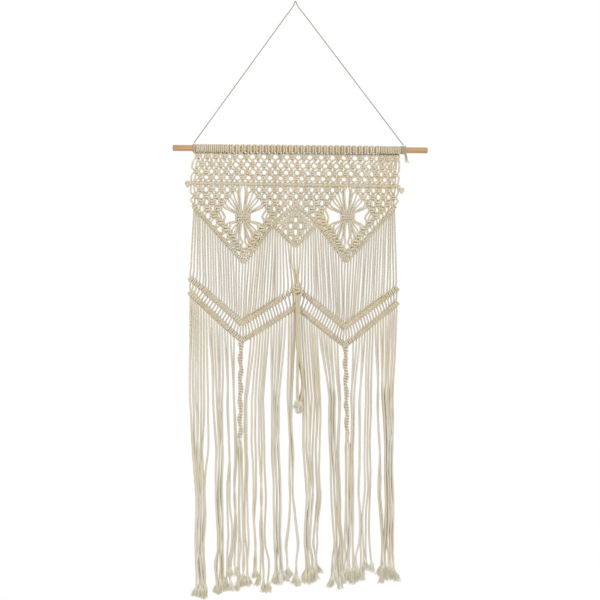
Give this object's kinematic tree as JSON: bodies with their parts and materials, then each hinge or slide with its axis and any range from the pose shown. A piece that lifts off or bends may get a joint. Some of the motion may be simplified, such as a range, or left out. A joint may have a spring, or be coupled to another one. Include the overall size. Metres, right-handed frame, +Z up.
{
  "type": "macrame wall hanging on a wooden rod",
  "caption": "Knotted cotton macrame panel with a long gathered fringe, mounted on a round wooden rod that a thin cord hangs from one hook, to decorate a wall.",
  "frame": {"origin": "where a hook holds the bend of the hanging cord, at the top of the object", "axes": "+X along the rod to the viewer's right, the knotted front faces -Y, +Z is up"},
  "size_m": [0.61, 0.0277, 1.3831],
  "materials": {
    "wood": "bare sanded pale wood",
    "cotton": "matt natural cotton cord",
    "thin_cord": "matt twisted cotton cord"
  },
  "bodies": {
    "root": {"rod": "wood", "cord_tie_left": "thin_cord", "cord_tie_right": "thin_cord", "hanging_cord": "thin_cord", "macrame_panel": "cotton", "fringe": "cotton", "centre_tassel": "cotton"}
  },
  "joints": []
}
